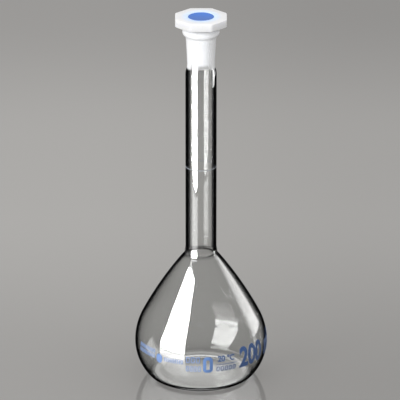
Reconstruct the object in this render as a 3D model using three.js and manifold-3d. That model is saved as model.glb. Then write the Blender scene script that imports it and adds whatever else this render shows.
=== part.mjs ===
// Volumetric flask for 200 ml, with a ground socket, an octagonal stopper and its colour inlay.
// Millimetres, +Z up. The origin is the centre of the foot, on the plane that the flask stands on.
import * as THREE from 'three';
import { mergeVertices } from 'three/addons/utils/BufferGeometryUtils.js';
import Module from 'manifold-3d';

const wasm = await Module();
wasm.setup();

// ---- Driving dimensions: glass flask ----
const BODY_DIAMETER = 75.5;
const RIM_TOP = 210;
const NECK_DIAMETER = 17.6;
const NECK_WALL = 1.6;
const BULB_WALL = 1.1;
const FLOOR_THICKNESS = 2.2;

// The outside of the bulb is five tangent arcs, from the foot up to the neck.
const WIDEST_HEIGHT = 20.9;
const HEEL_ARC = 6.5;
const LOWER_ARC = 28.1;
const UPPER_ARC = 35.1;
const UPPER_ARC_END = THREE.MathUtils.degToRad(27.2);
const SHOULDER_ARC = 223;
const NECK_FILLET = 11.3;

// The foot stands on a narrow flat ring round a shallow hollow.
const FOOT_RING_WIDTH = 2.4;
const FOOT_HOLLOW = 1.1;

// The ground socket is a 1:10 cone on the diameter, 14.5 mm wide at the rim and 23 mm long.
const SOCKET_DIAMETER = 14.5;
const SOCKET_LENGTH = 23;
const SOCKET_TAPER = 1 / 10;
const SOCKET_WALL = 1.55;
const RIM_BEAD_DIAMETER = 21;
const RIM_BEAD_HEIGHT = 4.6;

// ---- Driving dimensions: graduation ring ----
const GRADUATION_HEIGHT = 127.4;
const GRADUATION_WIDTH = 0.6;
const GRADUATION_THICKNESS = 0.25;

// ---- Driving dimensions: stopper and inlay ----
const HEAD_ACROSS_FLATS = 29;
const HEAD_THICKNESS = 4.5;
const HEAD_CORNER = 2.2;
const HEAD_EDGE = 0.45;
const HEAD_CLEAR_OF_RIM = 2.1;
const PLUG_END_ABOVE_SOCKET = 2.4;
const PLUG_WALL = 1.3;
const PLUG_FLOOR = 1.5;
const PLUG_CHAMFER = 0.6;
const INLAY_DIAMETER = 14.3;
const INLAY_THICKNESS = 0.8;

// Faces that touch on the real object are drawn this far apart.
const GAP = 0.3;

// ---- Roundness ----
const ROUND_SEGMENTS = 48;
const INLAY_SEGMENTS = 40;

// ---- Worked out from the driving dimensions ----
const NECK_RADIUS = NECK_DIAMETER / 2;
const SOCKET_BOTTOM = RIM_TOP - SOCKET_LENGTH;
const PLUG_END = SOCKET_BOTTOM + PLUG_END_ABOVE_SOCKET;
const HEAD_BOTTOM = RIM_TOP + HEAD_CLEAR_OF_RIM;
const HEAD_TOP = HEAD_BOTTOM + HEAD_THICKNESS;
const RECESS_DEPTH = INLAY_THICKNESS + GAP;
const RECESS_RADIUS = INLAY_DIAMETER / 2 + GAP;

const MATERIALS = {
  glass: new THREE.MeshStandardMaterial({
    color: 0xdfe8ea, roughness: 0.03, metalness: 0, transparent: true, opacity: 0.35,
  }),
  polyethylene: new THREE.MeshStandardMaterial({ color: 0xf1f2f4, roughness: 0.45, metalness: 0 }),
  blueInlay: new THREE.MeshStandardMaterial({ color: 0x5c86dc, roughness: 0.4, metalness: 0 }),
  enamel: new THREE.MeshStandardMaterial({ color: 0xd9dee3, roughness: 0.5, metalness: 0 }),
};

const point = (x, y) => new THREE.Vector2(x, y);

// Points on an arc about (x, y), both ends included.
function arc(x, y, radius, from, to, steps) {
  return Array.from({ length: steps + 1 }, (_, i) => {
    const angle = from + (to - from) * i / steps;
    return point(x + radius * Math.cos(angle), y + radius * Math.sin(angle));
  });
}

// Revolves a closed profile of (radius, height) points about Z.
function revolve(profile, segments) {
  return new THREE.LatheGeometry(profile, segments).rotateX(Math.PI / 2);
}

function toSolid(geometry) {
  const bare = geometry.clone();
  bare.deleteAttribute('normal');
  bare.deleteAttribute('uv');
  const merged = mergeVertices(bare, 1e-4);
  return new wasm.Manifold(new wasm.Mesh({
    numProp: 3,
    vertProperties: new Float32Array(merged.attributes.position.array),
    triVerts: new Uint32Array(merged.index.array),
  }));
}

function toGeometry(solid) {
  const mesh = solid.getMesh();
  const geometry = new THREE.BufferGeometry();
  geometry.setAttribute('position', new THREE.BufferAttribute(mesh.vertProperties, 3));
  geometry.setIndex(new THREE.BufferAttribute(mesh.triVerts, 1));
  geometry.computeVertexNormals();
  return geometry;
}

function node(name, geometry, material) {
  const mesh = new THREE.Mesh(geometry, material);
  mesh.name = name;
  return mesh;
}

// Radius of the ground socket's bore at a height.
const socketRadius = (height) => (SOCKET_DIAMETER - (RIM_TOP - height) * SOCKET_TAPER) / 2;

// One side of the bulb's wall, from the foot to the start of the neck, as five tangent arcs.
// inset is the depth of this side below the outside, and floor is the height that it starts at.
function bulbOutline(inset, floor, neckRadius) {
  const widest = BODY_DIAMETER / 2 - inset;
  const heel = HEEL_ARC - inset;
  const lower = LOWER_ARC - inset;
  const upper = UPPER_ARC - inset;
  const shoulder = SHOULDER_ARC - inset;
  const fillet = NECK_FILLET + inset;

  const heelHeight = floor + heel;
  const heelDrop = WIDEST_HEIGHT - heelHeight;
  const heelX = widest - lower + Math.sqrt((lower - heel) ** 2 - heelDrop ** 2);
  const heelEnd = -Math.asin(heelDrop / (lower - heel));

  // The slope where the shoulder meets the fillet follows from the neck's radius.
  const reach = neckRadius + fillet - widest + upper * (1 - Math.cos(UPPER_ARC_END));
  const slope = Math.acos((reach + shoulder * Math.cos(UPPER_ARC_END)) / (shoulder + fillet));

  const shoulderX = widest - upper + (upper - shoulder) * Math.cos(UPPER_ARC_END);
  const shoulderZ = WIDEST_HEIGHT + (upper - shoulder) * Math.sin(UPPER_ARC_END);
  const filletX = shoulderX + (shoulder + fillet) * Math.cos(slope);
  const filletZ = shoulderZ + (shoulder + fillet) * Math.sin(slope);

  return [
    ...arc(heelX, heelHeight, heel, -Math.PI / 2, heelEnd, 5),
    ...arc(widest - lower, WIDEST_HEIGHT, lower, heelEnd, 0, 6).slice(1),
    ...arc(widest - upper, WIDEST_HEIGHT, upper, 0, UPPER_ARC_END, 4).slice(1),
    ...arc(shoulderX, shoulderZ, shoulder, UPPER_ARC_END, slope, 4).slice(1),
    ...arc(filletX, filletZ, fillet, Math.PI + slope, Math.PI, 5).slice(1),
  ];
}

// Shallow dome from the axis out to a flat ring, seen from below as the foot's hollow.
function footHollow(ringInside) {
  const radius = (ringInside ** 2 + FOOT_HOLLOW ** 2) / (2 * FOOT_HOLLOW);
  const spread = Math.asin(ringInside / radius);
  return arc(0, FOOT_HOLLOW - radius, radius, Math.PI / 2, Math.PI / 2 - spread, 5);
}

function glassFlask() {
  const outside = bulbOutline(0, 0, NECK_RADIUS);
  const inside = bulbOutline(BULB_WALL, FLOOR_THICKNESS, NECK_RADIUS - NECK_WALL);
  const socketOutside = (height) => socketRadius(height) + SOCKET_WALL;
  const beadRadius = RIM_BEAD_HEIGHT / 2;
  const beadX = RIM_BEAD_DIAMETER / 2 - beadRadius;
  const beadZ = RIM_TOP - beadRadius;
  const neckTop = SOCKET_BOTTOM - 4;
  const profile = [
    ...footHollow(outside[0].x - FOOT_RING_WIDTH),
    ...outside,
    point(NECK_RADIUS, neckTop),
    point(socketOutside(SOCKET_BOTTOM) + 0.25, SOCKET_BOTTOM - 0.6),
    point(socketOutside(SOCKET_BOTTOM + 1.5), SOCKET_BOTTOM + 1.5),
    point(socketOutside(RIM_TOP - RIM_BEAD_HEIGHT), RIM_TOP - RIM_BEAD_HEIGHT - 0.6),
    ...arc(beadX, beadZ, beadRadius, -Math.PI / 3, Math.PI / 2, 7),
    point(socketRadius(RIM_TOP) + 0.3, RIM_TOP),
    point(socketRadius(RIM_TOP - 0.3), RIM_TOP - 0.3),
    point(socketRadius(SOCKET_BOTTOM), SOCKET_BOTTOM),
    point(NECK_RADIUS - NECK_WALL, neckTop),
    ...inside.reverse(),
    point(0, FLOOR_THICKNESS),
  ];
  return node('glass_flask', revolve(profile, ROUND_SEGMENTS), MATERIALS.glass);
}

function graduationRing() {
  const inner = NECK_RADIUS + GAP;
  const outer = inner + GRADUATION_THICKNESS;
  const bottom = GRADUATION_HEIGHT - GRADUATION_WIDTH / 2;
  const top = bottom + GRADUATION_WIDTH;
  const profile = [
    point(inner, bottom), point(outer, bottom), point(outer, top), point(inner, top),
    point(inner, bottom),
  ];
  return node('graduation_ring', revolve(profile, ROUND_SEGMENTS), MATERIALS.enamel);
}

// Regular octagon with rounded corners, a flat facing each way along X and Y.
function octagon(acrossFlats, cornerRadius) {
  const shape = new THREE.Shape();
  const corners = 8;
  const turn = 2 * Math.PI / corners;
  const cornerCentre = (acrossFlats / 2 - cornerRadius) / Math.cos(turn / 2);
  for (let i = 0; i < corners; i += 1) {
    const angle = (i + 0.5) * turn;
    const x = cornerCentre * Math.cos(angle);
    const y = cornerCentre * Math.sin(angle);
    shape.absarc(x, y, cornerRadius, angle - turn / 2, angle + turn / 2, false);
  }
  shape.closePath();
  return shape;
}

function stopperHead() {
  const settings = {
    depth: HEAD_THICKNESS - 2 * HEAD_EDGE,
    bevelThickness: HEAD_EDGE,
    bevelSize: HEAD_EDGE,
    bevelSegments: 2,
    curveSegments: 3,
  };
  const outline = octagon(HEAD_ACROSS_FLATS - 2 * HEAD_EDGE, HEAD_CORNER - HEAD_EDGE);
  return new THREE.ExtrudeGeometry(outline, settings).translate(0, 0, HEAD_BOTTOM + HEAD_EDGE);
}

const plugRadius = (height) => socketRadius(height) - GAP;

// The plug runs a little way up into the head, so that the two join as one moulding.
function stopperPlug() {
  const top = HEAD_BOTTOM + HEAD_THICKNESS / 4;
  const tip = plugRadius(PLUG_END);
  return revolve([
    point(0, PLUG_END),
    point(tip - PLUG_CHAMFER, PLUG_END),
    point(tip, PLUG_END + PLUG_CHAMFER),
    point(plugRadius(top), top),
    point(0, top),
  ], ROUND_SEGMENTS);
}

// What the mould core leaves: the inlay's recess, and the hollow of the plug below it.
function stopperCavity() {
  const above = HEAD_TOP + 1;
  const ledge = HEAD_TOP - RECESS_DEPTH;
  const bottom = PLUG_END + PLUG_FLOOR;
  return revolve([
    point(0, bottom),
    point(plugRadius(bottom) - PLUG_WALL, bottom),
    point(plugRadius(ledge) - PLUG_WALL, ledge),
    point(RECESS_RADIUS, ledge),
    point(RECESS_RADIUS, above),
    point(0, above),
  ], ROUND_SEGMENTS);
}

function stopper() {
  const moulding = toSolid(stopperHead())
    .add(toSolid(stopperPlug()))
    .subtract(toSolid(stopperCavity()));
  return node('stopper', toGeometry(moulding), MATERIALS.polyethylene);
}

function inlayDisc() {
  const radius = INLAY_DIAMETER / 2;
  const edge = 0.15;
  const bottom = HEAD_TOP - INLAY_THICKNESS;
  const profile = [
    point(0, bottom),
    point(radius, bottom),
    point(radius, HEAD_TOP - edge),
    point(radius - edge, HEAD_TOP),
    point(0, HEAD_TOP),
  ];
  return node('inlay_disc', revolve(profile, INLAY_SEGMENTS), MATERIALS.blueInlay);
}

const flask = new THREE.Group();
flask.add(glassFlask(), graduationRing());

const closure = new THREE.Group();
closure.add(stopper(), inlayDisc());

const object = new THREE.Group();
object.add(flask, closure);

export default object;
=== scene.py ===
"""Volumetric flask with an octagonal stopper: the fine surface, finishes, lights and camera."""

import math

import bmesh
import bpy
from bpy.props import (
    FloatProperty, FloatVectorProperty, IntProperty, PointerProperty, StringProperty,
)
from mathutils import Matrix, Vector


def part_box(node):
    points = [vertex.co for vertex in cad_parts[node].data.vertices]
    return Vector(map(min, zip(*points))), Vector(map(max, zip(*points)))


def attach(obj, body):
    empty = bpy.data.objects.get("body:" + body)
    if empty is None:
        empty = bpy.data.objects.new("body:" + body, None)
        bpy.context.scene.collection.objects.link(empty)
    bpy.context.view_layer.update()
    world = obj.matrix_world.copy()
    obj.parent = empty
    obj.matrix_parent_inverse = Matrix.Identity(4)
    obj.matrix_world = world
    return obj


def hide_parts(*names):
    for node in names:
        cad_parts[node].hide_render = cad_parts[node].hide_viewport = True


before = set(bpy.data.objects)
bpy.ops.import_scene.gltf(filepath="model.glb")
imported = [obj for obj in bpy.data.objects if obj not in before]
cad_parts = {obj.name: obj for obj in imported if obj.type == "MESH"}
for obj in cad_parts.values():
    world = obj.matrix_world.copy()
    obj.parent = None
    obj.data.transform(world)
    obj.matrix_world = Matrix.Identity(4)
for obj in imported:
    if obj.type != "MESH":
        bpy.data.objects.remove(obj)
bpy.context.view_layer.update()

bl_info = {
    "name": "Volumetric flask",
    "version": (1, 0, 0),
    "blender": (4, 5, 0),
    "location": "View3D > Sidebar > Flask",
    "description": "Builds a glass volumetric flask, its enamel marks and its stopper",
    "category": "Mesh",
}

_, GLASS_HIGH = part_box("glass_flask")
RING_LOW, RING_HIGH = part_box("graduation_ring")
STOPPER_LOW, STOPPER_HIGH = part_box("stopper")
INLAY_LOW, INLAY_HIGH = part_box("inlay_disc")

MM = 0.001
MERGED = 1e-6               # points nearer than this, in metres, become one
SLIVER = 1e-7               # edges shorter than this, in metres, are dissolved
SAME_HEIGHT = 0.01 * MM     # points nearer than this to a height are at it
SOCKET_TAPER = 0.05         # the ground socket narrows by one part in twenty
WELD_SPREAD = 1.1 * MM      # half height of the groove and the bead where neck and bulb join
CORNER_SHARE = 0.42         # a bevel's offset over its radius, at a corner of 135 degrees
CAPITAL_SHARE = 0.69        # a capital's height over the size of its font
STRIP = 0.9 * MM            # width of the strips that let a flat mark bend round the bulb
GLASS_IOR = 1.473
PLASTIC_IOR = 1.51
ALWAYS = 20                 # more reflections than a path has
BLACK = (0, 0, 0)
WHITE = (1, 1, 1)


def length(name, description, default):
    """A size that a user may change, in metres."""
    return FloatProperty(
        name=name, description=description, default=default, min=0, subtype="DISTANCE",
        unit="LENGTH", precision=5,
    )


def angle(name, description, degrees):
    """An angle that a user may change."""
    return FloatProperty(
        name=name, description=description, default=math.radians(degrees), subtype="ANGLE",
        unit="ROTATION",
    )


def colour(name, description, default):
    """A colour that a user may change."""
    return FloatVectorProperty(
        name=name, description=description, default=default, size=3, min=0, max=1,
        subtype="COLOR",
    )


def brightness(name, description, default):
    """How brightly a reflector glows."""
    return FloatProperty(name=name, description=description, default=default, min=0)


def power(name, description, watts):
    """The power of a lamp."""
    return FloatProperty(
        name=name, description=description, default=watts, min=0, subtype="POWER", unit="POWER",
    )


# ---------------------------------------------------------------- sizes and colours


class FlaskSizes(bpy.types.PropertyGroup):
    """Sizes of the glass."""

    body_radius: length("Body radius", "Widest radius of the bulb", GLASS_HIGH.x)
    rim_top: length("Rim height", "Height of the rim above the foot", GLASS_HIGH.z)
    neck_radius: length("Neck radius", "Outside radius of the neck", 8.8 * MM)
    neck_wall: length("Neck wall", "Thickness of the neck's wall", 1.6 * MM)
    bulb_wall: length("Bulb wall", "Thickness of the bulb's wall", 1.1 * MM)
    floor: length("Floor thickness", "Thickness of the glass above the foot", 2.2 * MM)
    widest_height: length("Widest height", "Height at which the bulb is widest", 20.9 * MM)
    heel_arc: length("Heel arc", "Radius of the bend at the foot", 6.5 * MM)
    lower_arc: length("Lower arc", "Radius of the bulb's profile below its widest", 28.1 * MM)
    upper_arc: length("Upper arc", "Radius of the bulb's profile above its widest", 35.1 * MM)
    upper_arc_end: angle("Upper arc end", "Slope where the upper arc meets the shoulder", 27.2)
    shoulder_arc: length("Shoulder arc", "Radius of the nearly straight shoulder", 223 * MM)
    neck_fillet: length("Neck fillet", "Radius of the sweep from shoulder to neck", 11.3 * MM)
    inner_fillet: length("Inner neck fillet", "Radius of the bend from shoulder to bore", 4.5 * MM)
    seal_height: length("Seal height", "Height at which neck and bulb are joined", 74.5 * MM)
    seal_depth: length("Seal depth", "How far the bead of the join stands into the bore", 0.35 * MM)
    weld_groove: length("Weld groove", "Depth of the groove outside the join", 0.45 * MM)
    foot_ring: length("Foot ring", "Width of the flat ring that the flask stands on", 2.4 * MM)
    foot_hollow: length("Foot hollow", "Depth of the hollow under the foot", 1.1 * MM)
    socket_radius: length("Socket radius", "Radius of the ground socket at the rim", 7.25 * MM)
    socket_length: length("Socket length", "Length of the ground socket", 23 * MM)
    socket_wall: length("Socket wall", "Thickness of the socket's wall", 1.55 * MM)
    bead_radius: length("Rim bead radius", "Outside radius of the beaded rim", 10.5 * MM)
    bead_height: length("Rim bead height", "Height of the beaded rim", 4.6 * MM)
    steps: IntProperty(name="Steps", description="Steps in a full turn", default=160, min=24)


class StopperSizes(bpy.types.PropertyGroup):
    """Sizes of the stopper and its inlay."""

    across_flats: length(
        "Across flats", "Width of the octagonal head", STOPPER_HIGH.x - STOPPER_LOW.x,
    )
    head_bottom: length("Head underside", "Height of the head's underside", 212.1 * MM)
    head_top: length("Head top", "Height of the head's top", STOPPER_HIGH.z)
    corner: length("Corner radius", "Radius of the head's upright corners", 2.2 * MM)
    edge: length("Edge radius", "Radius along the head's flat faces", 0.45 * MM)
    plug_end: length("Plug end", "Height of the plug's lower end", STOPPER_LOW.z)
    plug_gap: length("Plug gap", "Gap between the plug and the ground socket", 0.06 * MM)
    plug_wall: length("Plug wall", "Thickness of the plug's wall", 1.3 * MM)
    plug_floor: length("Plug floor", "Thickness of the plug's closed end", 1.5 * MM)
    plug_chamfer: length("Plug chamfer", "Chamfer round the plug's end", 0.6 * MM)
    inlay_radius: length("Inlay radius", "Radius of the colour inlay", INLAY_HIGH.x)
    inlay_thickness: length("Inlay thickness", "Thickness of the inlay", INLAY_HIGH.z - INLAY_LOW.z)
    inlay_gap: length("Inlay gap", "Gap round and under the inlay", 0.1 * MM)


class PrintSizes(bpy.types.PropertyGroup):
    """Sizes of the enamel marks."""

    lift: length("Lift", "Height of the enamel's underside above the glass", 0.012 * MM)
    thickness: length("Enamel thickness", "Thickness of the fired enamel", 0.05 * MM)
    capacity: StringProperty(name="Capacity", description="Capacity figure", default="200")
    capacity_unit: StringProperty(name="Unit", description="Unit of the capacity", default="ml")
    figure_height: length("Figure height", "Height of the capacity figures", 11.4 * MM)
    small_height: length("Small text height", "Height of the small marks", 3.3 * MM)
    ring_width: length("Ring width", "Width of the graduation ring", RING_HIGH.z - RING_LOW.z)


class Finishes(bpy.types.PropertyGroup):
    """Colours of the finishes."""

    glass: colour("Glass", "Tint of the clear glass", (0.925, 0.93, 0.925))
    frost: colour("Ground glass", "White of the ground socket", (0.86, 0.87, 0.89))
    # Painted shade: the near-black put on the glass where it is seen edge on, standing in for the
    # dark surroundings that the edges refract.
    painted_edge_shade: colour("Glass edge", "Tint where the glass is seen edge on", (0.03, 0.03, 0.034))
    polyethylene: colour("Polyethylene", "White of the stopper", (0.72, 0.725, 0.74))
    inlay: colour("Inlay", "Blue of the inlay disc", (0.055, 0.17, 0.56))
    # Painted light: the blue glow round the inlay, standing in for light that passes through the
    # blue inlay into the white plastic.
    painted_inlay_glow: colour("Inlay glow", "Blue lent to the white round the inlay", (0.56, 0.74, 1.0))
    enamel: colour("Enamel", "Blue of the printed enamel", (0.010, 0.040, 0.14))
    # Paler blue, used towards the left of the print.
    enamel_pale: colour("Pale enamel", "Blue of the thinly printed enamel", (0.19, 0.33, 0.66))
    ring: colour("Ring enamel", "Pale enamel of the graduation ring", (0.5, 0.54, 0.6))
    floor: colour("Floor", "Colour of the floor", (0.328, 0.323, 0.315))


class StageSettings(bpy.types.PropertyGroup):
    """Camera, floor and lights."""

    camera_distance: length("Camera distance", "Distance from the camera to its target", 2.724)
    camera_elevation: angle("Camera elevation", "Angle that the camera looks down by", 21.3)
    target_height: length("Target height", "Height that the camera looks at", 106.4 * MM)
    target_side: length("Target side", "How far left of the axis the camera looks", 0.57 * MM)
    lens: FloatProperty(name="Lens", description="Focal length in millimetres", default=432)
    floor_size: length("Floor size", "Width of the floor", 24.0)
    floor_drop: length("Floor drop", "Gap that keeps the floor's plane off the foot's", 0.05 * MM)
    surroundings: colour("Surroundings", "Light from all round", (0.55, 0.542, 0.53))
    left_strength: brightness("Left card", "Brightness of the reflector at the left", 46)
    right_strength: brightness("Right card", "Brightness of the reflector at the right", 3.4)
    back_strength: brightness("Back card", "Brightness of the reflector behind", 1.2)
    key_power: power("Key light", "Power of the light at the left front", 38)
    fill_power: power("Fill light", "Power of the light at the right", 9)
    top_power: power("Top light", "Power of the light above", 9)


GROUPS = {
    "flask_sizes": FlaskSizes,
    "stopper_sizes": StopperSizes,
    "print_sizes": PrintSizes,
    "flask_finishes": Finishes,
    "flask_stage": StageSettings,
}


# ---------------------------------------------------------------- shader maths


class Number:
    """A number that a material works out. Arithmetic on it adds Math nodes."""

    def __init__(self, sheet, socket):
        self.sheet = sheet
        self.socket = socket

    def maths(self, operation, *values):
        """What a Math node makes of some values."""
        node = self.sheet.add("ShaderNodeMath", {"operation": operation}, dict(enumerate(values)))
        return Number(self.sheet, node.outputs[0])

    def or_more(self, other):
        """The greater of this and another."""
        return self.maths("MAXIMUM", self, other)

    def __add__(self, other):
        return self.maths("ADD", self, other)

    def __radd__(self, other):
        return self.maths("ADD", other, self)

    def __sub__(self, other):
        return self.maths("SUBTRACT", self, other)

    def __rsub__(self, other):
        return self.maths("SUBTRACT", other, self)

    def __mul__(self, other):
        return self.maths("MULTIPLY", self, other)

    def __rmul__(self, other):
        return self.maths("MULTIPLY", other, self)

    def __truediv__(self, other):
        return self.maths("DIVIDE", self, other)

    def __pow__(self, other):
        return self.maths("POWER", self, other)

    def __lt__(self, other):
        return self.maths("LESS_THAN", self, other)

    def __gt__(self, other):
        return self.maths("GREATER_THAN", self, other)

    def ramp(self, low, high):
        """0 below low and 1 above high, with a smooth rise between them."""
        node = self.sheet.add(
            "ShaderNodeMapRange", {"interpolation_type": "SMOOTHSTEP", "clamp": True},
            {"Value": self, "From Min": low, "From Max": high},
        )
        return Number(self.sheet, node.outputs["Result"])


class Sheet:
    """The nodes of a new material, or of the world, laid out by code."""

    def __init__(self, name, owner=None):
        self.owner = owner or bpy.data.materials.new(name)
        self.owner.use_nodes = True
        self.tree = self.owner.node_tree
        self.tree.nodes.clear()
        self.output = self.add("ShaderNodeOutputWorld" if owner else "ShaderNodeOutputMaterial")

    def add(self, kind, settings=None, inputs=None):
        """A node of a kind, with its settings, and with values or links on its inputs."""
        node = self.tree.nodes.new(kind)
        for name, value in (settings or {}).items():
            setattr(node, name, value)
        for name, value in (inputs or {}).items():
            self.feed(node.inputs[name], value)
        return node

    def feed(self, socket, value):
        """Links a value to a socket, or sets it there."""
        if isinstance(value, Number):
            value = value.socket
        if isinstance(value, bpy.types.NodeSocket):
            self.tree.links.new(value, socket)
        elif socket.type == "RGBA" and len(value) == 3:
            socket.default_value = (*value, 1)
        else:
            socket.default_value = value

    def number(self, kind, output, settings=None, inputs=None):
        """What a new node gives at one of its outputs."""
        return Number(self, self.add(kind, settings, inputs).outputs[output])

    def place(self):
        """The point's place on the object, as three numbers."""
        coordinates = self.add("ShaderNodeTexCoord").outputs["Object"]
        parts = self.add("ShaderNodeSeparateXYZ", None, {0: coordinates})
        return [Number(self, parts.outputs[axis]) for axis in "XYZ"]

    def facing(self, **inputs):
        """0 where the surface, or a Normal, faces the viewer, and 1 where it is seen side on."""
        return self.number("ShaderNodeLayerWeight", "Facing", None, {"Blend": 0.5, **inputs})

    def noise(self, scale, detail=3.0, roughness=0.5):
        """Noise between 0 and 1, with scale features to a metre."""
        coordinates = self.add("ShaderNodeTexCoord").outputs["Object"]
        return self.number("ShaderNodeTexNoise", "Fac", None, {
            "Vector": coordinates, "Scale": scale, "Detail": detail, "Roughness": roughness,
        })

    def blend(self, factor, first, second):
        """A colour that goes from first to second as factor goes from 0 to 1."""
        node = self.add("ShaderNodeMix", {"data_type": "RGBA"}, {0: factor, 6: first, 7: second})
        return node.outputs[2]

    def bump(self, height, strength, distance):
        """Normals that follow a height."""
        node = self.add("ShaderNodeBump", None, {
            "Height": height, "Strength": strength, "Distance": distance,
        })
        return node.outputs["Normal"]

    def principled(self, **inputs):
        """A Principled shader, its inputs named in lower case with _ for spaces."""
        named = {}
        for name, value in inputs.items():
            named[name.replace("_", " ").title().replace("Ior", "IOR")] = value
        return self.add("ShaderNodeBsdfPrincipled", None, named)

    def mix(self, factor, first, second):
        """A shader that goes from first to second as factor goes from 0 to 1."""
        return self.add("ShaderNodeMixShader", None, {
            0: factor, 1: first.outputs[0], 2: second.outputs[0],
        })

    def finish(self, shader):
        """Puts a shader on the surface, and gives the finished material."""
        self.tree.links.new(shader.outputs[0], self.output.inputs["Surface"])
        return self.owner


# ---------------------------------------------------------------- finishes


def band(value, middle, width):
    """1 where value is at middle, falling smoothly to 0 at width either side of it."""
    return value.ramp(middle - width, middle) * (1 - value.ramp(middle, middle + width))


def from_axis(x, y):
    """Distance from the flask's axis."""
    return (x * x + y * y) ** 0.5


def shade_of(tone, factor):
    """A colour made lighter or darker by a factor."""
    return [factor * part for part in tone]


def side_on(sheet, in_neck):
    """0 where the glass is seen square on and 1 where it is seen edge on.

    On the upright neck this is measured round the axis alone, so that the neck's painted dark edges
    are as wide from above as from the side.
    """
    least = 0.04            # keeps the division sound where the neck is seen from straight above
    usual_level = 0.94      # the level that a flask is seen at from a little above
    facing = sheet.facing()
    up = sheet.add("ShaderNodeCombineXYZ", None, {"Z": 1.0}).outputs[0]
    rise = 1 - sheet.facing(Normal=up)
    level = (1 - rise * rise).or_more(least) ** 0.5
    around = 1 - usual_level * (1 - facing) / level
    return facing + in_neck * (around - facing)


def painted_shade_at_edges(sheet, z, facing, in_neck):
    """How much painted shade the glass gets towards its edges, standing in for the dark
    surroundings that the edges refract: 0 up to start, and 1 from end.

    The painted dark band is widest on the neck, and wider at the heel than on the bulb.
    """
    bulb_start, bulb_end = 0.66, 0.88
    neck_start, neck_end = 0.36, 0.56
    heel_start, heel_end = 0.52, 0.72
    heel = 1 - z.ramp(1.5 * MM, 5 * MM)
    start = bulb_start + (neck_start - bulb_start) * in_neck + (heel_start - bulb_start) * heel
    end = bulb_end + (neck_end - bulb_end) * in_neck + (heel_end - bulb_end) * heel
    return sheet.number("ShaderNodeMapRange", "Result", {"clamp": True}, {
        "Value": facing, "From Min": start, "From Max": end,
    })


def painted_weld_shade(y, z, facing, sizes):
    """Painted shade in a ring at the join, standing in for the dark surroundings that the thick
    glass there bends into view; stronger and lower on the far side, and gone at the edges.
    """
    far = y.ramp(-2 * MM, 2 * MM)
    ring = band(z, sizes.seal_height - 0.3 * MM * far, 1.5 * MM + 0.8 * MM * far)
    return ring * (0.4 + 0.5 * far) * (1 - facing.ramp(0.5, 0.8))


def clear_glass(sizes, colours):
    """Clear borosilicate glass with a frosted ground socket, and painted shade where it is seen
    edge on, standing in for the dark surroundings that its edges refract.
    """
    sheet = Sheet("borosilicate glass")
    x, y, z = sheet.place()
    bottom = sizes.rim_top - sizes.socket_length
    in_neck = z.ramp(sizes.seal_height - 8.5 * MM, sizes.seal_height + 3.5 * MM)
    in_joint = z.ramp(bottom - 1.2 * MM, bottom + 0.4 * MM)
    in_bead = z.ramp(sizes.rim_top - sizes.bead_height - 1 * MM, sizes.rim_top - sizes.bead_height)
    at_weld = band(z, sizes.seal_height + 0.4 * MM, 2.2 * MM)
    facing = side_on(sheet, in_neck)

    # The painted edge shade is left off at the joint, and nearly so at the weld.
    dark = painted_shade_at_edges(sheet, z, facing, in_neck) * (1 - in_joint) * (1 - 0.8 * at_weld)
    # The painted ring of shade at the join is added to the painted edge shade.
    dark = dark.or_more(painted_weld_shade(y, z, facing, sizes))
    # The glass's own tint, blended towards the painted edge shade.
    tint = sheet.blend(dark, colours.glass, colours.painted_edge_shade)

    # Only the inside of the socket is ground. Where the plug fills it, the ground glass is painted
    # whiter, standing in for the white plug behind it.
    bore = sizes.socket_radius + (z - sizes.rim_top) * SOCKET_TAPER
    inside = (from_axis(x, y) < bore + 0.4 * MM) * (z < sizes.rim_top - 0.2 * MM)
    ground = inside * z.ramp(bottom - 0.5 * MM, bottom + 0.3 * MM)
    beside_plug = z.ramp(bottom + 1.4 * MM, bottom + 2.8 * MM)
    grain = sheet.noise(9000, 2)
    white = ground * (0.3 + 0.5 * beside_plug + 0.1 * grain)

    # Painted white, standing in for the white plug seen through the glass: towards the joint's
    # edges, and all over the bead.
    painted_plug_white = in_joint * (0.5 * in_bead + (0.9 - 0.5 * in_bead) * facing.ramp(0.1, 0.5))

    # At the weld, some light passes straight through.
    glass = sheet.principled(
        base_color=tint, roughness=ground * (0.34 + 0.1 * grain), ior=GLASS_IOR,
        transmission_weight=1.0,
    )
    frost = sheet.principled(base_color=colours.frost, roughness=0.6)
    clear = sheet.add("ShaderNodeBsdfTransparent")
    # The frost finish is the ground socket's own, and here it is also the painted white of the
    # joint and the bead.
    frosted = sheet.mix(white.or_more(painted_plug_white), glass, frost)
    return sheet.finish(sheet.mix(at_weld * facing.ramp(0.2, 0.5) * 0.85, frosted, clear))


def ring_enamel(colours):
    """Pale enamel of the graduation ring, thin enough for the glass to show through."""
    sheet = Sheet("ring enamel")
    grain = sheet.noise(1500, 3)
    shader = sheet.principled(
        base_color=sheet.blend(grain, colours.ring, shade_of(colours.ring, 0.8)),
        roughness=0.35 + 0.2 * grain, alpha=0.22 + 0.26 * grain,
    )
    return sheet.finish(shader)


def printed_enamel(name, dark, pale, cover):
    """Fired blue enamel with a slightly uneven screen-printed film, paler towards the left."""
    sheet = Sheet(name)
    x, *_ = sheet.place()
    rightward = x.ramp(-4 * MM, 12 * MM)
    film = sheet.noise(900, 4, 0.6)
    speck = sheet.noise(6000, 2)
    shader = sheet.principled(
        base_color=sheet.blend(1 - (1 - 0.35 * film) * rightward, dark, pale),
        roughness=0.28 + 0.25 * speck,
        alpha=cover + 0.12 * film,
        normal=sheet.bump(speck, 0.25, 0.02 * MM),
    )
    return sheet.finish(shader)


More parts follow.
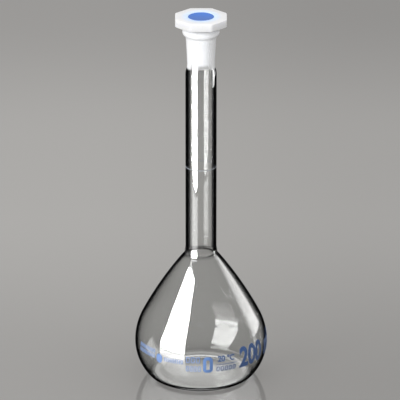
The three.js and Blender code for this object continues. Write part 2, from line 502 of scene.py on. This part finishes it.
def white_polyethylene(sizes, colours):
    """Satin white polyethylene that lets light through, with a painted blue glow round the inlay,
    standing in for light through the blue inlay.
    """
    sheet = Sheet("white polyethylene")
    x, y, z = sheet.place()
    # Painted light: a blue glow round the inlay, on the head only.
    glow = 1 - from_axis(x, y).ramp(sizes.inlay_radius * 0.98, sizes.inlay_radius * 1.75)
    on_head = z.ramp(sizes.head_bottom - 1 * MM, sizes.head_bottom + 2 * MM)
    cloud = sheet.noise(160, 3)
    flow = sheet.noise(1400, 5, 0.6)
    white = sheet.blend(cloud, colours.polyethylene, shade_of(colours.polyethylene, 0.96))
    shader = sheet.principled(
        base_color=sheet.blend(glow * on_head * 0.8, white, colours.painted_inlay_glow),
        roughness=0.36 + 0.16 * flow,
        subsurface_weight=0.35,
        subsurface_radius=(2.2 * MM, 2.2 * MM, 2.6 * MM),
        subsurface_scale=1.0,
        ior=PLASTIC_IOR,
        normal=sheet.bump(flow, 0.12, 0.05 * MM),
    )
    return sheet.finish(shader)


def blue_inlay(colours):
    """Moulded blue plastic with a fine satin grain."""
    sheet = Sheet("blue inlay")
    grain = sheet.noise(2600, 4, 0.6)
    cloud = sheet.noise(220, 2)
    shader = sheet.principled(
        base_color=sheet.blend(cloud, colours.inlay, shade_of(colours.inlay, 0.86)),
        roughness=0.32 + 0.2 * grain,
        normal=sheet.bump(grain, 0.15, 0.04 * MM),
    )
    return sheet.finish(shader)


def reflected(sheet, times=ALWAYS):
    """1 on a path that clear surfaces have reflected, once or up to a number of times."""
    path = sheet.add("ShaderNodeLightPath")
    depth = Number(sheet, path.outputs["Glossy Depth"])
    return (depth > 0.5) * (depth < times + 0.5) * Number(sheet, path.outputs["Is Singular Ray"])


def pale_floor(colours):
    """Plain pale floor, shaded by black flags wherever it is seen in a reflection.

    It is painted a little darker towards the near side, the far side and the right, where the light
    falls off, and it has a painted pool of the light that the bulb gathers under itself.
    """
    sheet = Sheet("pale floor")
    x, y, _ = sheet.place()
    near = 1 - y.ramp(-0.03, 0.26)
    far = y.ramp(0.38, 0.64)
    right = x.ramp(-0.09, 0.11)
    shade = near * 0.24 + far * 0.22 + right * 0.12 + sheet.noise(7, 3) * 0.02
    # Painted pool of light on the floor under the bulb.
    painted_light_pool = 1 - from_axis(x, y).ramp(25.5 * MM, 28 * MM)
    lit = sheet.blend(painted_light_pool, colours.floor, shade_of(colours.floor, 3.0))
    pale = sheet.principled(base_color=sheet.blend(shade, lit, BLACK), roughness=0.04, ior=1.65)
    flag = sheet.principled(base_color=(0.003, 0.003, 0.003), roughness=0.0, ior=1.32)
    return sheet.finish(sheet.mix(reflected(sheet), pale, flag))


def fading(sheet, side, top, soft):
    """White that fades to black over soft metres, at both sides of a card and at its top."""
    across, height, _ = sheet.place()
    left, right = side
    level = across.ramp(left, left + soft) * (1 - across.ramp(right - soft, right))
    return sheet.blend(level * (1 - height.ramp(top - soft, top)), BLACK, WHITE)


def glowing_card(name, strength, side=None, top=0.0, soft=0.0, times=ALWAYS):
    """A reflector that shows only in reflections. A card given its side has soft edges."""
    sheet = Sheet(name)
    tone = fading(sheet, side, top, soft) if side else WHITE
    glow = sheet.add("ShaderNodeEmission", None, {"Color": tone, "Strength": strength})
    clear = sheet.add("ShaderNodeBsdfTransparent")
    sheet.owner.cycles.emission_sampling = "NONE"
    return sheet.finish(sheet.mix(reflected(sheet, times), clear, glow))


# ---------------------------------------------------------------- mesh work


def arc(x, z, radius, start, end, steps):
    """Points on an arc about (x, z), both ends included."""
    turns = [start + (end - start) * i / steps for i in range(steps + 1)]
    return [(x + radius * math.cos(a), z + radius * math.sin(a)) for a in turns]


def spin_outline(mesh, outline, steps, closed=False):
    """Spins an outline of (radius, height) points a full turn about the upright axis."""
    points = [mesh.verts.new((x, 0, z)) for x, z in outline]
    pairs = list(zip(points, points[1:]))
    if closed:
        pairs.append((points[-1], points[0]))
    edges = [mesh.edges.new(pair) for pair in pairs]
    bmesh.ops.spin(
        mesh, geom=points + edges, cent=(0, 0, 0), axis=(0, 0, 1), angle=2 * math.pi,
        steps=steps, use_merge=True, use_duplicate=False,
    )
    bmesh.ops.remove_doubles(mesh, verts=mesh.verts, dist=MERGED)


def new_object(name, mesh, material):
    """Makes an object of a bmesh, which it frees, with one material."""
    data = bpy.data.meshes.new(name)
    mesh.to_mesh(data)
    mesh.free()
    data.materials.append(material)
    made = bpy.data.objects.new(name, data)
    bpy.context.scene.collection.objects.link(made)
    return made


def piece(name, mesh, material, body, replaced=(), smooth_below=35):
    """Turns a mesh's faces outwards, gives it its finish, and lets it ride on its body."""
    bmesh.ops.dissolve_degenerate(mesh, dist=SLIVER, edges=mesh.edges)
    bmesh.ops.recalc_face_normals(mesh, faces=mesh.faces)
    if mesh.calc_volume(signed=True) < 0:
        bmesh.ops.reverse_faces(mesh, faces=mesh.faces)
    made = new_object(name, mesh, material)
    made.data.shade_smooth()
    made.data.set_sharp_from_angle(angle=math.radians(smooth_below))
    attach(made, body)
    if replaced:
        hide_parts(*replaced)
    return made


def bulb_outline(sizes, inset, floor, neck_radius, fillet):
    """One side of the bulb's wall, from the foot to the start of the neck, as five tangent arcs."""
    widest = sizes.body_radius - inset
    heel = sizes.heel_arc - inset
    lower = sizes.lower_arc - inset
    upper = sizes.upper_arc - inset
    shoulder = sizes.shoulder_arc - inset
    turn = sizes.upper_arc_end

    heel_drop = sizes.widest_height - floor - heel
    heel_x = widest - lower + math.sqrt((lower - heel) ** 2 - heel_drop ** 2)
    heel_end = -math.asin(heel_drop / (lower - heel))

    reach = neck_radius + fillet - widest + upper * (1 - math.cos(turn))
    slope = math.acos((reach + shoulder * math.cos(turn)) / (shoulder + fillet))
    shoulder_x = widest - upper + (upper - shoulder) * math.cos(turn)
    shoulder_z = sizes.widest_height + (upper - shoulder) * math.sin(turn)
    fillet_x = shoulder_x + (shoulder + fillet) * math.cos(slope)
    fillet_z = shoulder_z + (shoulder + fillet) * math.sin(slope)

    outline = arc(heel_x, floor + heel, heel, -math.pi / 2, heel_end, 10)
    outline += arc(widest - lower, sizes.widest_height, lower, heel_end, 0, 14)[1:]
    outline += arc(widest - upper, sizes.widest_height, upper, 0, turn, 12)[1:]
    outline += arc(shoulder_x, shoulder_z, shoulder, turn, slope, 10)[1:]
    outline += arc(fillet_x, fillet_z, fillet, math.pi + slope, math.pi, 24)[1:]
    return outline


def bell(value, middle, width):
    """1 at middle, falling off smoothly on both sides."""
    return math.exp(-((value - middle) / width) ** 2)


def foot_hollow(sizes, ring_inside):
    """The shallow dome under the foot, from the axis out to the flat ring."""
    radius = (ring_inside ** 2 + sizes.foot_hollow ** 2) / (2 * sizes.foot_hollow)
    spread = math.asin(ring_inside / radius)
    return arc(0, sizes.foot_hollow - radius, radius, math.pi / 2, math.pi / 2 - spread, 14)


def bore_radius(sizes, height):
    """Radius of the ground socket at a height."""
    return sizes.socket_radius - (sizes.rim_top - height) * SOCKET_TAPER


def joint_outside(sizes, neck_top, bottom):
    """Outside of the ground joint, from the neck to the rim: a flare, a cone and a bead."""

    def outer(height):
        return bore_radius(sizes, height) + sizes.socket_wall

    bead = sizes.bead_height / 2
    bead_bottom = sizes.rim_top - sizes.bead_height
    outline = [
        (sizes.neck_radius - 0.15 * MM, neck_top + 1.2 * MM),
        (outer(bottom) + 0.62 * MM, bottom - 1.4 * MM),
        (outer(bottom) + 0.25 * MM, bottom - 0.2 * MM),
        (outer(bottom + 1.5 * MM) + 0.03 * MM, bottom + 1.2 * MM),
        (outer(bottom + 3 * MM), bottom + 3 * MM),
        (outer(bead_bottom - 2 * MM), bead_bottom - 2 * MM),
        (outer(bead_bottom) + 0.15 * MM, bead_bottom - 0.5 * MM),
    ]
    outline += arc(
        sizes.bead_radius - bead, sizes.rim_top - bead, bead, -math.pi / 3, math.pi / 2, 16,
    )
    return outline


def joint_inside(sizes, neck_top, bottom, inner_neck):
    """Inside of the ground joint, from the rim down its cone to the bore of the neck."""
    lip = 0.45 * MM
    outline = arc(
        bore_radius(sizes, sizes.rim_top) + lip, sizes.rim_top - lip, lip, math.pi / 2, math.pi, 5,
    )
    outline += [
        (bore_radius(sizes, bottom), bottom),
        (inner_neck - 0.5 * MM, bottom - 1.2 * MM),
        (inner_neck - 0.1 * MM, bottom - 3 * MM),
        (inner_neck, neck_top - 0.5 * MM),
    ]
    return outline


def glass_outline(sizes):
    """The whole wall: up the outside, round the rim and down the inside."""
    inner_neck = sizes.neck_radius - sizes.neck_wall
    outside = bulb_outline(sizes, 0, 0, sizes.neck_radius, sizes.neck_fillet)
    groove = sizes.seal_height - 0.2 * MM
    outside = [(x - sizes.weld_groove * bell(z, groove, WELD_SPREAD), z) for x, z in outside]
    inside = bulb_outline(sizes, sizes.bulb_wall, sizes.floor, inner_neck, sizes.inner_fillet)

    bottom = sizes.rim_top - sizes.socket_length
    neck_top = bottom - 4 * MM
    neck_start = outside[-1][1]
    neck_steps = 12
    heights = [neck_start + (neck_top - neck_start) * i / neck_steps for i in range(1, neck_steps)]

    outline = foot_hollow(sizes, outside[0][0] - sizes.foot_ring)
    outline += outside
    outline += [(sizes.neck_radius, z) for z in [*heights, neck_top - 0.4 * MM, neck_top]]
    outline += joint_outside(sizes, neck_top, bottom)
    outline += joint_inside(sizes, neck_top, bottom, inner_neck)
    outline += [(inner_neck, z) for z in reversed(heights)]

    inner_start = inside[-1][1]
    bead_steps = 16
    for i in range(bead_steps, 0, -1):
        z = inner_start + (neck_start - inner_start) * i / bead_steps
        bead = sizes.seal_depth * bell(z, sizes.seal_height, WELD_SPREAD)
        outline += [(inner_neck - bead, z)]
    outline += inside[::-1]
    outline += [(0, sizes.floor)]
    return outline


def large_flat_faces(mesh, area):
    """The level faces larger than an area."""
    return [f for f in mesh.faces if abs(f.normal.z) > 0.9 and f.calc_area() > area]


def octagon_wall(mesh, sizes):
    """Starts an empty mesh with the octagonal head's side, rounded, and open above and below."""
    height = sizes.head_top - sizes.head_bottom
    lid_area = sizes.across_flats ** 2 / 2
    corners = 8
    half_side = math.pi / corners
    place = Matrix.Translation((0, 0, sizes.head_bottom)) @ Matrix.Rotation(half_side, 4, "Z")
    bmesh.ops.create_circle(
        mesh, cap_ends=True, segments=corners, matrix=place,
        radius=sizes.across_flats / 2 / math.cos(half_side),
    )
    raised = bmesh.ops.extrude_face_region(mesh, geom=mesh.faces[:], use_keep_orig=True)["geom"]
    lid = [v for v in raised if isinstance(v, bmesh.types.BMVert)]
    bmesh.ops.translate(mesh, verts=lid, vec=(0, 0, height))
    upright = [e for e in mesh.edges if abs(e.verts[0].co.z - e.verts[1].co.z) > height / 2]
    bmesh.ops.bevel(
        mesh, geom=upright, affect="EDGES", offset_type="OFFSET",
        offset=sizes.corner * CORNER_SHARE, segments=5, profile=0.5, material=-1,
    )
    rims = [edge for face in large_flat_faces(mesh, lid_area) for edge in face.edges]
    bmesh.ops.bevel(
        mesh, geom=rims, affect="EDGES", offset_type="OFFSET", offset=sizes.edge,
        segments=3, profile=0.5, material=-1,
    )
    bmesh.ops.delete(mesh, geom=large_flat_faces(mesh, lid_area), context="FACES_ONLY")


def plug_radius(flask, sizes, height):
    """Radius of the plug at a height."""
    return bore_radius(flask, height) - sizes.plug_gap


def plug_outside(flask, sizes):
    """From the plug's closed end, up its cone and out to the head's underside."""
    end = sizes.plug_end
    chamfer = sizes.plug_chamfer
    fillet = 0.8 * MM
    fillet_x = plug_radius(flask, sizes, sizes.head_bottom) + fillet
    outline = [(0, end)]
    outline += arc(
        plug_radius(flask, sizes, end) - chamfer, end + chamfer, chamfer, -math.pi / 2, 0, 5,
    )
    outline += [(plug_radius(flask, sizes, flask.rim_top), flask.rim_top)]
    outline += arc(fillet_x, sizes.head_bottom - fillet, fillet, math.pi, math.pi / 2, 6)
    return outline


def plug_inside(flask, sizes):
    """From the well in the plug, up and out to the inlay's recess, and round the recess's lip."""
    lip = 0.25 * MM
    well = sizes.plug_end + sizes.plug_floor
    ledge = sizes.head_top - sizes.inlay_thickness - sizes.inlay_gap
    recess = sizes.inlay_radius + sizes.inlay_gap
    outline = [(0, well)]
    outline += [(plug_radius(flask, sizes, z) - sizes.plug_wall, z) for z in (well, ledge)]
    outline += [(recess, ledge)]
    outline += arc(recess + lip, sizes.head_top - lip, lip, math.pi, math.pi / 2, 4)
    return outline


def inlay_outline(sizes):
    """The inlay disc, with a softened edge and a top that is very slightly dished."""
    radius = sizes.inlay_radius
    bottom = sizes.head_top - sizes.inlay_thickness
    edge = 0.2 * MM
    dish = 0.12 * MM
    outline = [(0, bottom), (radius - edge, bottom), (radius, bottom + edge)]
    outline += arc(radius - edge, sizes.head_top - edge, edge, 0, math.pi / 2, 4)
    outline += [(radius - 0.7 * MM, sizes.head_top), (radius - 1.0 * MM, sizes.head_top - dish)]
    outline += [(0, sizes.head_top - dish)]
    return outline


def open_edges(mesh, height):
    """The edges of the openings at a height."""
    return [
        e for e in mesh.edges
        if len(e.link_faces) == 1 and all(abs(v.co.z - height) < SAME_HEIGHT for v in e.verts)
    ]


def on_belly(sizes, azimuth, rise, lift):
    """The place on the bulb at an azimuth, rise metres above its widest line along the glass."""
    bend = sizes.upper_arc if rise > 0 else sizes.lower_arc
    turn = rise / bend
    radius = sizes.body_radius - bend + (bend + lift) * math.cos(turn)
    height = sizes.widest_height + (bend + lift) * math.sin(turn)
    return Vector((radius * math.sin(azimuth), -radius * math.cos(azimuth), height))


def cut_in_strips(mesh, axis, width):
    """Cuts a flat mesh every width metres along an axis, 0 or 1, so that it can be bent."""
    places = [vert.co[axis] for vert in mesh.verts]
    low, high = min(places), max(places)
    along = Vector((0, 0, 0))
    along[axis] = 1
    for i in range(1, int((high - low) / width) + 1):
        bmesh.ops.bisect_plane(
            mesh, geom=mesh.verts[:] + mesh.edges[:] + mesh.faces[:],
            plane_co=along * (low + i * width), plane_no=along,
        )


def wrap_on_belly(mesh, flask, marks, azimuth, rise):
    """Lays a flat mesh on the bulb, with its middle at an azimuth, and thickens it."""
    bmesh.ops.triangulate(mesh, faces=mesh.faces)
    cut_in_strips(mesh, 0, STRIP)
    cut_in_strips(mesh, 1, 2 * STRIP)
    for vert in mesh.verts:
        turn = azimuth + vert.co.x / flask.body_radius
        vert.co = on_belly(flask, turn, rise + vert.co.y, marks.lift)
    bmesh.ops.recalc_face_normals(mesh, faces=mesh.faces)
    outward = sum(f.normal.xy.dot(f.calc_center_median().xy) for f in mesh.faces)
    if outward < 0:
        bmesh.ops.reverse_faces(mesh, faces=mesh.faces)
    bmesh.ops.solidify(mesh, geom=mesh.faces, thickness=-marks.thickness)


def lettering(text, height, narrowing, weight):
    """Flat lettering as a mesh, centred on the origin. height is that of a capital."""
    curve = bpy.data.curves.new(text, "FONT")
    curve.body = text
    curve.size = height / CAPITAL_SHARE
    curve.offset = weight
    curve.align_x = "CENTER"
    curve.align_y = "CENTER"
    curve.resolution_u = 6
    holder = bpy.data.objects.new(text, curve)
    bpy.context.scene.collection.objects.link(holder)
    bpy.context.view_layer.update()
    flat = holder.evaluated_get(bpy.context.evaluated_depsgraph_get()).to_mesh()
    mesh = bmesh.new()
    mesh.from_mesh(flat)
    bpy.data.objects.remove(holder)
    bpy.data.curves.remove(curve)
    bmesh.ops.remove_doubles(mesh, verts=mesh.verts, dist=MERGED)
    bmesh.ops.scale(mesh, vec=(narrowing, 1, 1), verts=mesh.verts)
    return mesh


def row_of(count, pitch, shape):
    """A row of the same flat shape, centred on the origin. shape() makes one of them."""
    mesh = bmesh.new()
    for i in range(count):
        single = shape()
        along = (i - (count - 1) / 2) * pitch
        bmesh.ops.translate(single, vec=(along, 0, 0), verts=single.verts)
        data = bpy.data.meshes.new("mark")
        single.to_mesh(data)
        single.free()
        mesh.from_mesh(data)
        bpy.data.meshes.remove(data)
    return mesh


def rounded_bar(width, height, corner):
    """A flat rounded rectangle, centred on the origin."""
    mesh = bmesh.new()
    bmesh.ops.create_grid(mesh, x_segments=1, y_segments=1, size=0.5)
    bmesh.ops.scale(mesh, vec=(width, height, 1), verts=mesh.verts)
    bmesh.ops.bevel(
        mesh, geom=mesh.verts[:], affect="VERTICES", offset=corner, segments=6, profile=0.5,
        material=-1,
    )
    return mesh


def bar_frame(width, height, corner, line):
    """The outline of a rounded rectangle, line wide."""
    mesh = rounded_bar(width, height, corner)
    middle = mesh.faces[:]
    bmesh.ops.inset_region(
        mesh, faces=middle, thickness=line, use_boundary=True, use_even_offset=True,
    )
    bmesh.ops.delete(mesh, geom=middle, context="FACES")
    return mesh


def boxes(count, pitch, width, height, line):
    """A row of small upright frames. Its sizes are in millimetres."""
    return row_of(
        count, pitch * MM, lambda: bar_frame(width * MM, height * MM, 0.7 * MM, line * MM),
    )


def strokes(count, pitch, width, height):
    """A row of small upright strokes. Its sizes are in millimetres."""
    return row_of(count, pitch * MM, lambda: rounded_bar(width * MM, height * MM, 0.25 * MM))


def enamel_marks(marks, strong, pale):
    """Each mark's name, flat mesh, azimuth in degrees, rise in millimetres and enamel.

    Azimuths run from the front of the flask to its right. Rises are above its widest line.
    """
    bold = 0.55 * MM
    light = 0.16 * MM
    figures = lettering(marks.capacity, marks.figure_height, 0.78, bold)
    unit = lettering(marks.capacity_unit, marks.figure_height, 0.8, bold)
    temperature = lettering("20 °C", marks.small_height, 0.9, light)
    return [
        ("capacity_figures", figures, 50.3, 0.4, strong),
        ("capacity_unit", unit, 82, 0.9, strong),
        ("temperature_mark", temperature, 22.5, 2.7, strong),
        ("rule_mark", rounded_bar(12.6 * MM, 0.35 * MM, 0.1 * MM), 22.7, -0.5, strong),
        ("box_mark_dark", boxes(5, 2.5, 1.9, 3.0, 0.55), 22.5, -3.2, strong),
        ("upright_mark", bar_frame(5.6 * MM, 9.6 * MM, 2.2 * MM, 1.8 * MM), 6.0, -0.4, strong),
        ("box_mark_upper", boxes(3, 2.9, 2.1, 3.5, 0.42), -7.0, 2.6, pale),
        ("box_mark_lower", boxes(4, 2.3, 1.6, 3.5, 0.42), -6.6, -2.8, pale),
        ("stroke_mark", strokes(9, 1.35, 0.6, 2.6), -24.8, 0.8, pale),
        ("round_mark", rounded_bar(4.0 * MM, 5.4 * MM, 1.9 * MM), -39.0, 0.5, pale),
        ("field_upper", strokes(11, 1.35, 0.7, 2.4), -55, 3.9, pale),
        ("field_lower", strokes(11, 1.35, 0.7, 2.4), -55, 0.9, pale),
    ]


# ---------------------------------------------------------------- operators


class FlaskOperator:
    """What the operators share."""

    bl_options = {"REGISTER", "UNDO"}

    def settings(self, context):
        """The sizes of the glass, of the stopper and of the marks, and the colours."""
        scene = context.scene
        return scene.flask_sizes, scene.stopper_sizes, scene.print_sizes, scene.flask_finishes


class FLASK_OT_glass(FlaskOperator, bpy.types.Operator):
    """Blows the glass: bulb, neck, ground socket and rim as one wall"""

    bl_idname = "flask.glass"
    bl_label = "Glass flask"

    def execute(self, context):
        sizes, _, _, colours = self.settings(context)
        mesh = bmesh.new()
        spin_outline(mesh, glass_outline(sizes), sizes.steps)
        made = piece(
            "flask_glass", mesh, clear_glass(sizes, colours), "flask",
            ["glass_flask"], smooth_below=50,
        )
        made.visible_shadow = False     # the light that gets through is painted on the floor's own finish
        return {"FINISHED"}


class FLASK_OT_graduation(FlaskOperator, bpy.types.Operator):
    """Fires the graduation ring on to the neck"""

    bl_idname = "flask.graduation"
    bl_label = "Graduation ring"

    def execute(self, context):
        sizes, _, marks, colours = self.settings(context)
        inner = sizes.neck_radius + marks.lift
        outer = inner + marks.thickness
        middle = (RING_LOW.z + RING_HIGH.z) / 2
        low = middle - marks.ring_width / 2
        high = middle + marks.ring_width / 2
        section = [(inner, low), (outer, low), (outer, high), (inner, high)]
        mesh = bmesh.new()
        spin_outline(mesh, section, sizes.steps, closed=True)
        piece(
            "graduation_line", mesh, ring_enamel(colours), "flask",
            ["graduation_ring"],
        )
        return {"FINISHED"}


class FLASK_OT_print(FlaskOperator, bpy.types.Operator):
    """Prints the enamel marks round the widest part of the bulb"""

    bl_idname = "flask.enamel_print"
    bl_label = "Enamel print"

    def execute(self, context):
        sizes, _, marks, colours = self.settings(context)
        blue, paler_blue = colours.enamel, colours.enamel_pale
        strong = printed_enamel("blue enamel", blue, paler_blue, cover=0.88)
        pale = printed_enamel("pale blue enamel", paler_blue, shade_of(paler_blue, 1.2), cover=0.45)
        for name, mesh, azimuth, rise, enamel in enamel_marks(marks, strong, pale):
            wrap_on_belly(mesh, sizes, marks, math.radians(azimuth), rise * MM)
            piece(name, mesh, enamel, "flask")
        return {"FINISHED"}


class FLASK_OT_stopper(FlaskOperator, bpy.types.Operator):
    """Moulds the stopper: octagonal head, recess and hollow plug"""

    bl_idname = "flask.stopper"
    bl_label = "Stopper"

    def execute(self, context):
        flask, sizes, _, colours = self.settings(context)
        steps = flask.steps // 2
        mesh = bmesh.new()
        octagon_wall(mesh, sizes)
        spin_outline(mesh, plug_outside(flask, sizes), steps)
        spin_outline(mesh, plug_inside(flask, sizes), steps)
        for height in (sizes.head_bottom, sizes.head_top):
            bmesh.ops.bridge_loops(mesh, edges=open_edges(mesh, height))
        piece(
            "stopper_moulding", mesh, white_polyethylene(sizes, colours), "stopper",
            ["stopper"], smooth_below=40,
        )
        return {"FINISHED"}


class FLASK_OT_inlay(FlaskOperator, bpy.types.Operator):
    """Moulds the colour inlay that sits in the stopper's recess"""

    bl_idname = "flask.inlay"
    bl_label = "Inlay disc"

    def execute(self, context):
        flask, sizes, _, colours = self.settings(context)
        mesh = bmesh.new()
        spin_outline(mesh, inlay_outline(sizes), flask.steps // 2)
        piece(
            "inlay_disc_moulding", mesh, blue_inlay(colours), "inlay",
            ["inlay_disc"],
        )
        return {"FINISHED"}


def stand_card(name, material, distance, azimuth, side, height):
    """A flat reflector, upright at a distance and azimuth from the flask, facing it.

    side and height are where it begins and ends, across and upwards.
    """
    (left, right), (low, high) = side, height
    middle = ((left + right) / 2, (low + high) / 2, distance)
    mesh = bmesh.new()
    bmesh.ops.create_grid(mesh, x_segments=1, y_segments=1, size=0.5)
    bmesh.ops.scale(mesh, vec=(right - left, high - low, 1), verts=mesh.verts)
    bmesh.ops.translate(mesh, vec=middle, verts=mesh.verts)
    card = new_object(name, mesh, material)
    turn = Matrix.Rotation(math.radians(azimuth), 4, "Z")
    card.matrix_world = turn @ Matrix.Rotation(math.pi / 2, 4, "X")
    card.visible_camera = False
    card.visible_diffuse = False
    card.visible_shadow = False


def soft_light(name, watts, place, aim, size):
    """A large square lamp aimed at a height on the axis. It isn't itself seen in the glass."""
    data = bpy.data.lights.new(name, "AREA")
    data.size = size
    data.energy = watts
    lamp = bpy.data.objects.new(name, data)
    bpy.context.scene.collection.objects.link(lamp)
    lamp.location = place
    lamp.rotation_euler = (Vector((0, 0, aim)) - Vector(place)).to_track_quat("-Z", "Y").to_euler()
    lamp.visible_camera = False
    lamp.visible_glossy = False
    lamp.visible_transmission = False


class FLASK_OT_stage(FlaskOperator, bpy.types.Operator):
    """Sets the floor, the reflectors, the lights and the camera"""

    bl_idname = "flask.stage"
    bl_label = "Stage"

    def floor(self, context, stage):
        """The floor, a hair under the foot."""
        mesh = bmesh.new()
        bmesh.ops.create_grid(mesh, x_segments=2, y_segments=2, size=stage.floor_size / 2)
        floor = new_object("floor", mesh, pale_floor(context.scene.flask_finishes))
        floor.location.z = -stage.floor_drop

    def surroundings(self, context, stage):
        """Light from all round, with dark flags wherever it would be reflected."""
        world = bpy.data.worlds.new("studio")
        context.scene.world = world
        sheet = Sheet("studio", world)
        dark = (0.008, 0.008, 0.008)
        sheet.finish(sheet.add("ShaderNodeBackground", None, {
            "Color": sheet.blend(reflected(sheet), stage.surroundings, dark),
        }))

    def cards(self, stage):
        """The left card makes the tall streak, and the right one the soft band opposite."""
        low = 0.002
        stand_card(
            "card_left", glowing_card("left card", stage.left_strength),
            distance=0.298, azimuth=-40, side=(-0.186, 0.070), height=(low, 0.372),
        )
        stand_card(
            "card_back", glowing_card("back card", stage.back_strength),
            distance=1.2, azimuth=180, side=(-0.2, 0.2), height=(low, 0.9),
        )
        side, top, soft = (-0.12, 0.26), 0.34, 0.12
        soft_card = glowing_card("right card", stage.right_strength, side, top, soft, times=1)
        stand_card(
            "card_right", soft_card, distance=0.5, azimuth=110, side=side, height=(low, top),
        )

    def lights(self, stage):
        """Three soft lamps: at the left front, at the right front and above."""
        soft_light("key", stage.key_power, place=(-1.0, -1.5, 0.75), aim=0.15, size=1.0)
        soft_light("fill", stage.fill_power, place=(1.4, -1.0, 0.9), aim=0.1, size=1.0)
        soft_light("top", stage.top_power, place=(0, 0.3, 1.6), aim=0, size=1.2)

    def camera(self, context, stage):
        """The camera, at the front and looking down."""
        data = bpy.data.cameras.new("camera")
        data.lens = stage.lens
        data.sensor_width = 36
        data.clip_end = 30
        camera = bpy.data.objects.new("camera", data)
        context.scene.collection.objects.link(camera)
        tilt = stage.camera_elevation
        target = Vector((-stage.target_side, 0, stage.target_height))
        away = Vector((0, -math.cos(tilt), math.sin(tilt)))
        camera.location = target + away * stage.camera_distance
        camera.rotation_euler = (math.pi / 2 - tilt, 0, 0)
        context.scene.camera = camera

    def execute(self, context):
        stage = context.scene.flask_stage
        self.floor(context, stage)
        self.surroundings(context, stage)
        self.cards(stage)
        self.lights(stage)
        self.camera(context, stage)
        context.scene.view_settings.view_transform = "Standard"
        return {"FINISHED"}


class FLASK_PT_panel(bpy.types.Panel):
    """Lists the sizes and the pieces in the 3D view's sidebar"""

    bl_label = "Volumetric flask"
    bl_idname = "FLASK_PT_panel"
    bl_space_type = "VIEW_3D"
    bl_region_type = "UI"
    bl_category = "Flask"

    def draw(self, context):
        for operator in PIECES:
            self.layout.operator(operator.bl_idname)
        for group in GROUPS:
            box = self.layout.box()
            values = getattr(context.scene, group)
            for name in values.__annotations__:
                box.prop(values, name)


PIECES = [
    FLASK_OT_glass, FLASK_OT_graduation, FLASK_OT_print, FLASK_OT_stopper, FLASK_OT_inlay,
    FLASK_OT_stage,
]
CLASSES = [*GROUPS.values(), *PIECES, FLASK_PT_panel]


def register():
    for one in CLASSES:
        bpy.utils.register_class(one)
    for name, group in GROUPS.items():
        setattr(bpy.types.Scene, name, PointerProperty(type=group))


def unregister():
    for name in GROUPS:
        delattr(bpy.types.Scene, name)
    for one in reversed(CLASSES):
        bpy.utils.unregister_class(one)


def main():
    register()
    for operator in PIECES:
        group, name = operator.bl_idname.split(".")
        getattr(getattr(bpy.ops, group), name)()


if __name__ == "__main__":
    main()
